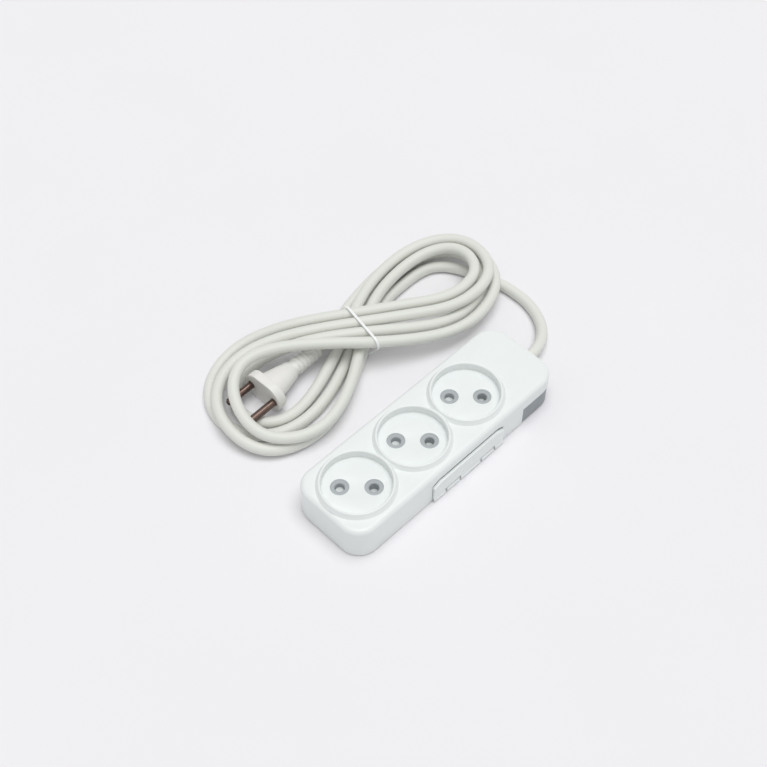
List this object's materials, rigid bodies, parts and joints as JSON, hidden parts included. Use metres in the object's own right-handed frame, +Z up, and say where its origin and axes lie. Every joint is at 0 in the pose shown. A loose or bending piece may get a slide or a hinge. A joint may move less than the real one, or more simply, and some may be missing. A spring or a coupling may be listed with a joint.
{
  "type": "power strip",
  "caption": "Flat white power strip with round rimmed two-pin sockets, a fold-out side flap and a round lead tied in a figure-eight hank with a moulded plug.",
  "frame": {"origin": "middle of the base plate's underside, on the surface the strip lies on", "axes": "+X along the strip towards the cord end, +Z up through the socket face"},
  "size_m": [0.2132, 0.1619, 0.0281],
  "materials": {
    "white_plastic": "satin moulded white thermoplastic",
    "grey_plastic": "moulded grey thermoplastic",
    "brass": "stamped sheet brass",
    "steel": "zinc-plated steel",
    "cord_sheath": "soft flexible vinyl, warm white",
    "brown_insulation": "vinyl core insulation",
    "blue_insulation": "vinyl core insulation",
    "tie_plastic": "thin translucent nylon band",
    "plated_brass": "plated brass pin"
  },
  "bodies": {
    "strip": {"base_plate": "white_plastic", "top_cover": "white_plastic", "socket_disc_a": "white_plastic", "socket_disc_b": "white_plastic", "socket_disc_c": "white_plastic", "sleeves_a": "grey_plastic", "sleeves_b": "grey_plastic", "sleeves_c": "grey_plastic", "busbar_line": "brass", "busbar_neutral": "brass", "terminal_screws": "steel", "cord_clamp": "grey_plastic", "clamp_screws": "steel", "cover_screws": "steel", "end_insert": "grey_plastic", "hinge_pin": "steel", "inner_sheath": "cord_sheath", "core_line": "brown_insulation", "core_neutral": "blue_insulation", "strain_relief": "grey_plastic", "cord_lead": "cord_sheath", "cord_hank": "cord_sheath", "cord_tie": "tie_plastic", "plug_relief": "cord_sheath", "plug_body": "cord_sheath", "plug_pins": "plated_brass"},
    "flap": {"hanging_flap": "white_plastic"}
  },
  "joints": [
    {"name": "flap_hinge", "type": "hinge", "parent": "strip", "child": "flap", "pos_m": [0.005, -0.0272, 0.0018], "axis": [1, 0, 0], "range_deg": [0, 90]}
  ]
}
